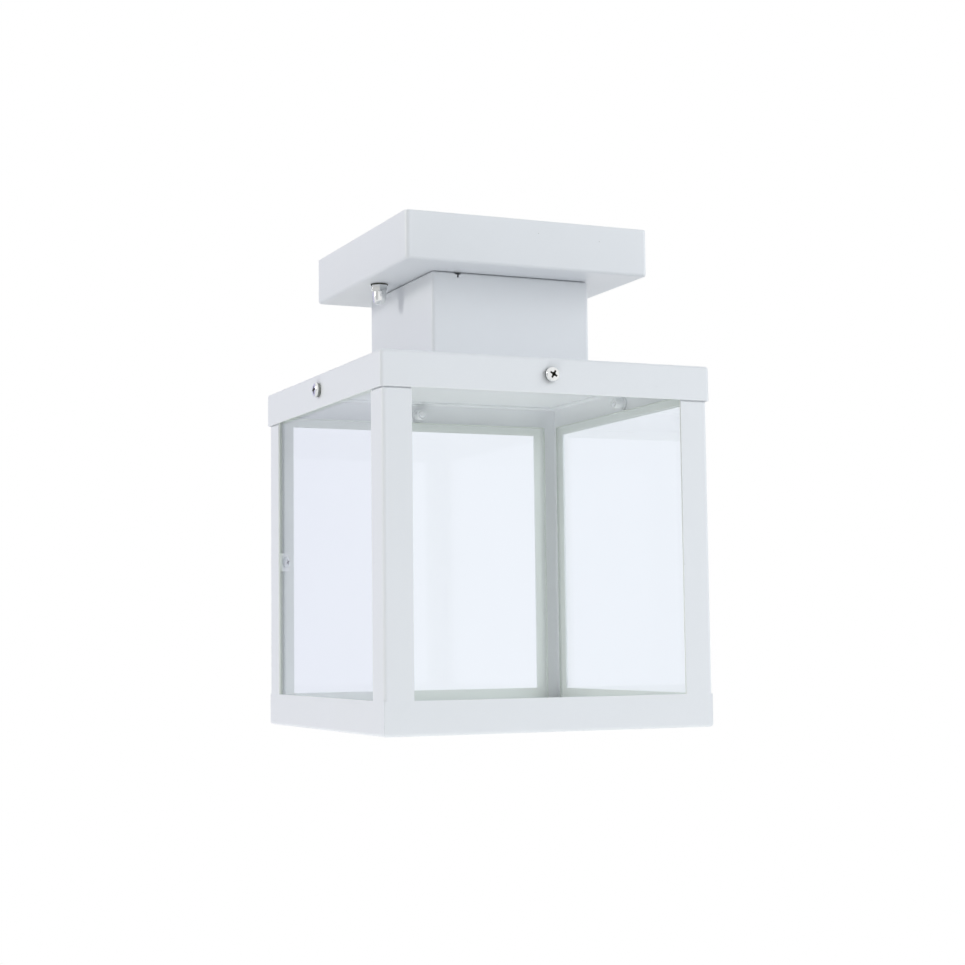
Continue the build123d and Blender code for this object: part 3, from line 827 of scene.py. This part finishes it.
# Threads, screws and nuts
def threaded_rod(thread, low, high, steps=20, tip=0.0):
    """A threaded rod about Z, its ends cut square and its lower end tapered in over a tip."""
    radius, pitch = thread
    root = radius - thread_share * pitch
    start = low - 1.5 * pitch
    bm = bmesh.new()
    wire(bm, [
        (root, 0, start), (radius, 0, start + 0.44 * pitch), (radius, 0, start + 0.56 * pitch),
        (root, 0, start + pitch),
    ])
    helix(bm, pitch, ceil((high - low) / pitch) + 3, steps)
    for level, way in ((low, -1), (high, 1)):
        trim(bm, (0, 0, level), (0, 0, way))
    for vert in bm.verts:
        most = root - tip + vert.co.z - low
        reach = sqrt(vert.co.x ** 2 + vert.co.y ** 2)
        if tip and reach > most:
            vert.co.x *= most / reach
            vert.co.y *= most / reach
    bmesh.ops.recalc_face_normals(bm, faces=bm.faces[:])
    return bm


def cross_tool(width, slot, depth, top):
    """The cross recess as a solid: two tapered blades and a round pit between them."""
    bm = bmesh.new()
    middle = top - depth / 2
    for turn in (0, 90):
        place = turn_z(turn) @ shift(z=middle) @ Matrix.Diagonal((width, slot, depth, 1))
        made = bmesh.ops.create_cube(bm, size=1, matrix=place)["verts"]
        foot = [vert for vert in made if vert.co.z < middle]
        bmesh.ops.scale(bm, vec=(0.5, 0.5, 1), verts=foot)
    bmesh.ops.create_cone(
        bm, cap_ends=True, segments=24, radius1=slot * 0.45, radius2=slot, depth=depth + 0.3,
        matrix=shift(z=middle - 0.15),
    )
    # The recess takes a screw's second finish, which is painted shade
    for face in bm.faces:
        face.material_index = 1
    return bm


def pan_screw(thread, length, head_radius, head_height):
    """A pan-head screw with a cross recess. Its seat is z = 0 and its shank points down."""
    head = turned([
        (0, head_height, 0), (head_radius * 0.78, head_height * 0.92, head_height * 0.2),
        (head_radius, head_height * 0.58, head_height * 0.24), (head_radius * 0.9, 0, 0.1), (0, 0, 0),
    ], 40)
    tool = cross_tool(head_radius * 1.12, head_radius * 0.27, head_height * 0.7, head_height + 0.05)
    return together(carved(head, tool), threaded_rod(thread, -length, 0.2, tip=0.35 * thread[1]))


def hexagon(flats, outline, low, high, turn=0.0):
    """A nut: a turned blank cut to six flats."""
    bar = moved(rod(flats / sqrt(3), low, high, 6), turn_z(90 + turn))
    nut = carved(turned(outline, 60, closed=outline[0][0] > 0), bar, "INTERSECT")
    soften(nut, 0.1, lambda edge: edge.calc_length() > 1.2, angle=50)
    return nut


def plain_nut(flats, height, bore):
    """A nut chamfered at both faces, with a countersunk bore."""
    inner, outer = flats / 2, flats / sqrt(3) + 0.02
    slope = (outer - inner) * 0.55
    return hexagon(flats, [
        (bore + 0.4, 0, 0), (inner - 0.1, 0, 0), (outer, slope, 0), (outer, height - slope, 0),
        (inner - 0.1, height, 0), (bore + 0.4, height, 0), (bore, height - 0.4, 0), (bore, 0.4, 0),
    ], -overrun, height + overrun)


# Side screws, with painted shade on the lower half of each head's rim, next to its seat
side_head_radius = (side_high.x - side_low.x) / 2
side_head_height = roof_low.y - side_low.y
side_screw = pan_screw(side_thread, side_screw_length, side_head_radius, side_head_height)
# The lower half of each head's rim takes the third finish, which is painted shade
for face in side_screw.faces:
    middle = face.calc_center_median()
    if 0 < middle.z < 0.5 * side_head_height and middle.xy.length > 0.88 * side_head_radius:
        face.material_index = 2
seat = shift(0, roof_low.y, screw_level) @ head_to_front
for side, turn in sides.items():
    screw = moved(side_screw.copy(), turn_z(turn) @ seat @ turn_z(recess_turn[side]))
    settle(screw, f"{side}_screw", [f"side_screw_{side}"], "bright_nickel", [nickel, recess, painted_rim_shade],
           f"side_screw_{side}")

# Cap nuts and the rubber rings above them
cap_length = cap_high.z - cap_low.z
stud_bore = stud_thread[0] + bore_clearance
cap_nut = hexagon(stud_nut_flats, [
    (0, -cap_length, 0), (2.9, 0.3 - cap_length, 1.4), (3.75, 2.9 - cap_length, 2.2),
    (3.8, -cap_hexagon_height, 0.1), (4.0, -cap_hexagon_height, 0), (4.66, -3.3, 0), (4.66, -0.15, 0),
    (4.5, 0, 0), (2.9, 0, 0), (stud_bore, -0.4, 0), (stud_bore, 2.2 - cap_length, 0.3),
    (0, 2.2 - cap_length, 0),
], -cap_length - overrun, overrun, cap_nut_turn)
for side, x in (("left", -stud_x), ("right", stud_x)):
    nut = moved(cap_nut.copy(), shift(x, 0, cap_high.z))
    settle(nut, f"{side}_cap_nut", [f"cap_nut_{side}"], *bright, f"cap_nut_{side}")

ring_low, ring_high = box("stud_washers")
ring_radius = ring_high.x - stud_x
ring_bore = stud_thread[0] + hole_clearance
ring = turned([
    (ring_bore, ring_low.z, 0.15), (ring_radius, ring_low.z, 0.32), (ring_radius, ring_high.z, 0.32),
    (ring_bore, ring_high.z, 0.15),
], closed=True)
settle(copies(ring, both_studs), "rubber_rings", ["stud_washers"], "black_rubber", [rubber])

# Mounting bar, studs, lock nuts and the earth screw
settle_copy("mounting_bar", "strap_bar", 0.25, *plated)
stud = threaded_rod(stud_thread, box("canopy_studs")[0].z, 0, tip=0.4)
settle(copies(stud, both_studs), "hanging_studs", ["canopy_studs"], *plated)
nut_low, nut_high = box("stud_lock_nuts")
lock_nut = moved(plain_nut(stud_nut_flats, nut_high.z - nut_low.z, stud_bore), shift(z=nut_low.z))
settle(copies(lock_nut, both_studs), "lock_nuts", ["stud_lock_nuts"], *plated)
bar_level = box("mounting_bar")[0].z
earth_head_height = bar_level - box("earth_screw")[0].z
earth = pan_screw(side_thread, earth_screw_length, earth_head_radius, earth_head_height)
moved(earth, shift(centre("earth_screw").x, 0, bar_level) @ head_down @ turn_z(earth_recess_turn))
settle(earth, "green_earthing_screw", ["earth_screw"], "green_earth_screw", [green_dye, recess])

# Threaded pipe with its nuts and lock washer
pipe_low, pipe_high = box("threaded_pipe")
pipe = threaded_rod(pipe_thread, pipe_low.z, pipe_high.z, 32, 0.3)
pipe = carved(pipe, rod(pipe_bore, pipe_low.z - overrun, pipe_high.z + overrun))
settle(pipe, "centre_pipe", ["threaded_pipe"], *plated)
nut_low, nut_high = box("pipe_nuts")
pipe_nut = plain_nut(pipe_nut_flats, pipe_nut_height, pipe_thread[0] + bore_clearance)
pipe_nuts = copies(pipe_nut, [shift(z=nut_low.z), shift(z=nut_high.z - pipe_nut_height)])
settle(pipe_nuts, "centre_nuts", ["pipe_nuts"], *plated)
settle_copy("pipe_lock_washer", "toothed_washer", 0.15, *plated)

# Lampholder: bracket and porcelain body
settle_copy("lampholder_bracket", "holder_bracket", 0.2, *plated)
body_low, body_high = box("lampholder_body")
shell_low, shell_high = box("socket_shell")
body_radius = body_high.x
groove_radius = body_radius - 0.5
waist = body_low.z + waist_height
recess_top = shell_high.z + contact_recess_height
pipe_seat = pipe_low.z - 1
porcelain_body = turned([
    (cavity_radius, body_low.z, 0.8), (body_radius, body_low.z, 1.5),
    (body_radius, waist - 2.1, 0.5), (groove_radius, waist - 1.3, 0.4),
    (groove_radius, waist + 1.3, 0.4), (body_radius, waist + 2.1, 0.5),
    (body_radius, body_high.z, 0.8), (pipe_recess_radius, body_high.z, 0.4),
    (pipe_recess_radius, pipe_seat, 0), (0, pipe_seat, 0),
    (0, recess_top, 0), (contact_recess_radius, recess_top, 0.4),
    (contact_recess_radius, shell_high.z, 0.3), (cavity_radius, shell_high.z, 0.5),
], 72, closed=True)
flat = body_radius - flat_depth
terminal_level = centre("terminal_screws").z
flats = together(*[
    block((-body_radius, near, terminal_level - body_radius), (body_radius, far, body_high.z + overrun))
    for near, far in ((flat, body_radius + 2), (-body_radius - 2, -flat))
])
screw_bore = clip_thread[0] + bore_clearance
holder_hole = rod(screw_bore, body_high.z - holder_hole_depth, body_high.z + overrun, 24)
terminal_hole = moved(
    rod(screw_bore, terminal_hole_foot, body_radius + overrun, 24, "Y"), shift(z=terminal_level)
)
holes = together(copies(holder_hole, both_holder_screws), copies(terminal_hole, [turn_z(0), turn_z(180)]))
porcelain_body = carved(carved(porcelain_body, flats), holes)
soften(porcelain_body, 0.25, lambda edge: edge.calc_length() > 0.9, angle=50, steps=3)
settle(porcelain_body, "porcelain_holder", ["lampholder_body"], "porcelain", [porcelain])

# Screw shell: a wave rolled up a helix, between a ring at its mouth and a crown above
shell_radius = shell_high.x - shell_rim
shell = bmesh.new()
start = shell_low.z - lamp_pitch
wave = wire(shell, [
    (shell_radius - lamp_wave, 0, start), (shell_radius, 0, start + lamp_pitch * 0.25),
    (shell_radius - 2 * lamp_wave, 0, start + lamp_pitch * 0.75),
    (shell_radius - lamp_wave, 0, start + lamp_pitch),
])
for corner in wave[1:-1]:
    bevel(shell, [corner], 0.95, 5, "VERTICES")
shell_turns = ceil((shell_high.z - shell_low.z) / lamp_pitch) + 2
helix(shell, lamp_pitch, shell_turns, 48, wide_merge_distance)
split(shell, (0, 0, shell_low.z + 1.2), (0, 0, -1), drop=True)
split(shell, (0, 0, shell_high.z - 1.4), (0, 0, 1), drop=True)
bmesh.ops.recalc_face_normals(shell, faces=shell.faces[:])
shell.normal_update()
if sum(face.normal.dot(Vector((*face.calc_center_median().xy, 0))) for face in shell.faces) < 0:
    bmesh.ops.reverse_faces(shell, faces=shell.faces[:])
bmesh.ops.solidify(shell, geom=shell.faces[:], thickness=shell_sheet)
mouth = turned([
    (shell_radius - 0.55, shell_low.z + 1.6, 0.1), (shell_radius - 0.4, shell_low.z, 0.2),
    (shell_radius + shell_rim, shell_low.z, 0.2), (shell_radius + 0.05, shell_low.z + 1.6, 0.1),
], 72, closed=True)
crown = turned([
    (shell_radius + 0.1, shell_high.z - 1.6, 0.1), (shell_radius + 0.1, shell_high.z, 0.5),
    (contact_recess_radius, shell_high.z, 0), (contact_recess_radius, shell_high.z - 0.45, 0),
    (shell_radius - 0.4, shell_high.z - 0.45, 0.4), (shell_radius - 0.4, shell_high.z - 1.6, 0.1),
], 72, closed=True)
settle(together(shell, mouth, crown), "rolled_screw_shell", ["socket_shell"], *bright)

# Contact, and the lampholder's screws
settle_copy("socket_contact", "centre_contact", 0.08, "brass", [brass])
holder_screw = moved(pan_screw(clip_thread, *holder_screw_size), shift(z=body_high.z + bracket_thickness))
settle(copies(holder_screw, both_holder_screws), "holder_screws", ["lampholder_screws"], *plated_screw)
terminal_screw = moved(
    pan_screw(clip_thread, *terminal_screw_size), shift(0, -flat, terminal_level) @ head_to_front
)
settle(copies(terminal_screw, [turn_z(0), turn_z(180)]), "brass_terminal_screws", ["terminal_screws"],
       "brass", [brass, recess])

# Glass clips and their screws
clip_bend = -glass_low.x - clip_lap
line = [
    (clip_wing - clip_bend, -glass_inner, clip_low.z), (-clip_bend, -glass_inner, clip_low.z),
    (-glass_inner, -clip_bend, clip_low.z), (-glass_inner, clip_wing - clip_bend, clip_low.z),
]
clip = folded_strip(line, (0, 0, clip_high.z - clip_low.z), clip_thickness, clip_thickness)
soften(clip, 0.15)
clip_turns = [corners[corner] for corner in clip_corners]
settle(copies(clip, [turn_z(turn) for turn in clip_turns]), "corner_clips", ["glass_clips"], *painted)
clip_screw_low, clip_screw_high = box("clip_screws")
clip_head_radius = (clip_screw_high.z - clip_screw_low.z) / 2
clip_screw = pan_screw(clip_thread, clip_screw_length, clip_head_radius, clip_head_height)
seat_xy = clip_thickness / sqrt(2) - (clip_bend + glass_inner) / 2
seat = shift(seat_xy, seat_xy, clip_level) @ turn_z(135) @ head_to_front
clip_screws = copies(clip_screw, [
    turn_z(turn) @ seat @ turn_z(clip_recess_turn + 0.7 * turn) for turn in clip_turns
])
settle(clip_screws, "corner_clip_screws", ["clip_screws"], *plated_screw)

# Round nuts welded inside the top rails
weld_bore = side_thread[0] + bore_clearance
weld = turned([
    (weld_bore, 0, 0.1), (weld_flange_radius, 0, 0), (weld_flange_radius, weld_flange_height, 0.2),
    (weld_barrel_radius, weld_flange_height, 0.2), (weld_barrel_radius, weld_length, 0.35),
    (weld_bore, weld_length, 0.35),
], 40, closed=True)
moved(weld, shift(0, sheet - cage_half, screw_level) @ head_to_back)
settle(copies(weld, [turn_z(turn) for turn in sides.values()]), "welded_nuts", ["weld_nuts"], *painted)

# Camera
camera = bpy.data.objects.new("camera", bpy.data.cameras.new("camera"))
camera.data.lens = camera_lens
camera.data.sensor_width = 36
camera.data.clip_start = 0.01
camera.matrix_world = (
    shift(*camera_place) @ turn_z(-camera_yaw)
    @ Matrix.Rotation(radians(90 + camera_pitch), 4, "X") @ turn_z(camera_roll)
)
bpy.context.scene.collection.objects.link(camera)
bpy.context.scene.camera = camera


# Studio: soft boxes, a pale floor far below and a white surround
def softbox(name, towards, distance, size, power, colour=(1, 1, 1), mirrored=False):
    """A square lamp that shines on the lantern, and shows in shiny surfaces if it is mirrored."""
    lamp = bpy.data.lights.new(name, "AREA")
    lamp.size = size
    lamp.energy = power
    lamp.color = colour
    thing = bpy.data.objects.new(name, lamp)
    way = Vector(towards).normalized()
    look = way.to_track_quat("Z", "Y").to_matrix().to_4x4()
    thing.matrix_world = Matrix.Translation(lantern_middle + way * distance) @ look
    thing.visible_camera = False
    thing.visible_transmission = False
    thing.visible_glossy = mirrored
    bpy.context.scene.collection.objects.link(thing)


softbox("left_softbox", (-0.93, 0.12, 0.36), 1.7, 0.42, 7.0, warm_light, mirrored=True)
softbox("low_left_softbox", (-0.93, 0.05, -0.30), 2.2, 1.2, 4.5, warm_light)
softbox("front_softbox", (0.68, -0.62, 0.36), 2.2, 1.4, 19.8, cool_light)
softbox("low_front_softbox", (0.42, -0.82, -0.32), 2.2, 1.2, 4.8, cool_light)
softbox("back_softbox", (0.1, 0.9, 0.35), 2.2, 1.2, 8.0)
softbox("under_softbox", (-0.33, -0.30, -0.89), 1.6, 0.73, 8.5, (1.0, 0.995, 0.97))


def floor_paper():
    """Pale paper. The camera, metal and glass see it whiter, up to plain white far from its middle."""
    material = finish("floor_paper", coat, {
        "Colour": (0.76, 0.77, 0.77, 1), "Haze": (0.74, 0.75, 0.75, 1), "Speck": (0.74, 0.75, 0.75, 1),
        "Haze scale": 2.0, "Grain scale": 300.0, "Grain depth": 0.0002, "Speck scale": 60.0,
        "Speck share": 0.0, "Gloss low": 0.8, "Gloss high": 0.9,
    })
    tree = material.node_tree
    path = add(tree, "ShaderNodeLightPath")
    bright_paper = add(tree, "ShaderNodeBsdfDiffuse", {"Color": (1.0, 1.0, 1.0, 1)})
    glow = add(tree, "ShaderNodeEmission", {"Color": (1.0, 1.0, 1.0, 1), "Strength": 1.0})
    away = add(tree, "ShaderNodeTexGradient", gradient_type="SPHERICAL")
    reach = add(tree, "ShaderNodeMapping", {"Scale": (0.36, 0.36, 0.0)})
    link(tree, add(tree, "ShaderNodeTexCoord").outputs["Object"], reach.inputs["Vector"])
    link(tree, reach.outputs[0], away.inputs["Vector"])
    fade = spread(tree, away.outputs["Fac"], 0.0, 0.5, 1.0, 0.25)
    shown = blend_shaders(tree, fade, bright_paper.outputs[0], glow.outputs[0])
    mirrored = reckon(tree, "MAXIMUM", path.outputs["Is Glossy Ray"], path.outputs["Is Transmission Ray"])
    seen = reckon(tree, "MAXIMUM", path.outputs["Is Camera Ray"], mirrored)
    surface = blend_shaders(tree, seen, tree.nodes["Principled BSDF"].outputs[0], shown)
    link(tree, surface, tree.nodes["Material Output"].inputs["Surface"])
    return material


floor_mesh = bpy.data.meshes.new("floor")
disc = bmesh.new()
bmesh.ops.create_circle(
    disc, cap_ends=True, segments=96, radius=floor_radius, matrix=shift(z=floor_level)
)
disc.to_mesh(floor_mesh)
disc.free()
floor_mesh.materials.append(floor_paper())
floor = bpy.data.objects.new("studio_floor", floor_mesh)
bpy.context.scene.collection.objects.link(floor)


def surround():
    """A soft grey room that lights the lantern. Metal sees it paler, and the camera and glass white."""
    world = bpy.data.worlds.new("studio")
    bpy.context.scene.world = world
    world.use_nodes = True
    tree = world.node_tree
    way = add(tree, "ShaderNodeTexCoord").outputs["Generated"]
    axes = add(tree, "ShaderNodeSeparateXYZ")
    link(tree, way, axes.inputs[0])

    def backdrop(colour):
        """The room in one colour, or in the colours that a socket gives."""
        shade = add(tree, "ShaderNodeBackground", {"Strength": 1.0})
        if isinstance(colour, tuple):
            shade.inputs["Color"].default_value = colour
        else:
            link(tree, colour, shade.inputs["Color"])
        return shade.outputs[0]

    def aside(direction, low, high, share):
        """One away from a direction, and less towards it, down to a share."""
        return spread(tree, facing(tree, way, direction), low, high, 1.0, share)

    height = spread(tree, axes.outputs["Z"], -1.0, 1.0, 0.0, 1.0)
    glow = colour_ramp(
        tree, height, (0.0, (0.56, 0.565, 0.55)), (0.5, (0.57, 0.585, 0.60)), (1.0, (0.62, 0.64, 0.66))
    )
    behind_camera = aside((-0.72, -0.69, 0.0), 0.55, 0.95, 0.42)
    right_below = aside((0.85, 0.1, -0.5), 0.4, 0.9, 0.6)
    glow = dimmed(tree, dimmed(tree, glow, behind_camera), right_below)
    past_left_pane = spread(tree, facing(tree, way, (-0.40, 0.91, 0.08)), 0.7, 0.95, 0.0, 1.0)
    mirrored = colour_ramp(tree, past_left_pane, (0.0, (1.0, 1.0, 1.0)), (1.0, (0.62, 0.61, 0.80)))
    mirrored = dimmed(tree, mirrored, aside((-0.88, -0.44, 0.05), 0.88, 0.96, 0.6))
    white = (1.0, 1.0, 1.0, 1)
    path = add(tree, "ShaderNodeLightPath")
    shown = backdrop(glow)
    for ray, seen in (
        ("Is Glossy Ray", backdrop(mirrored)), ("Is Transmission Ray", backdrop(white)),
        ("Is Camera Ray", backdrop(white)),
    ):
        shown = blend_shaders(tree, path.outputs[ray], shown, seen)
    link(tree, shown, tree.nodes["World Output"].inputs["Surface"])


surround()
bpy.context.scene.view_settings.view_transform = "Standard"
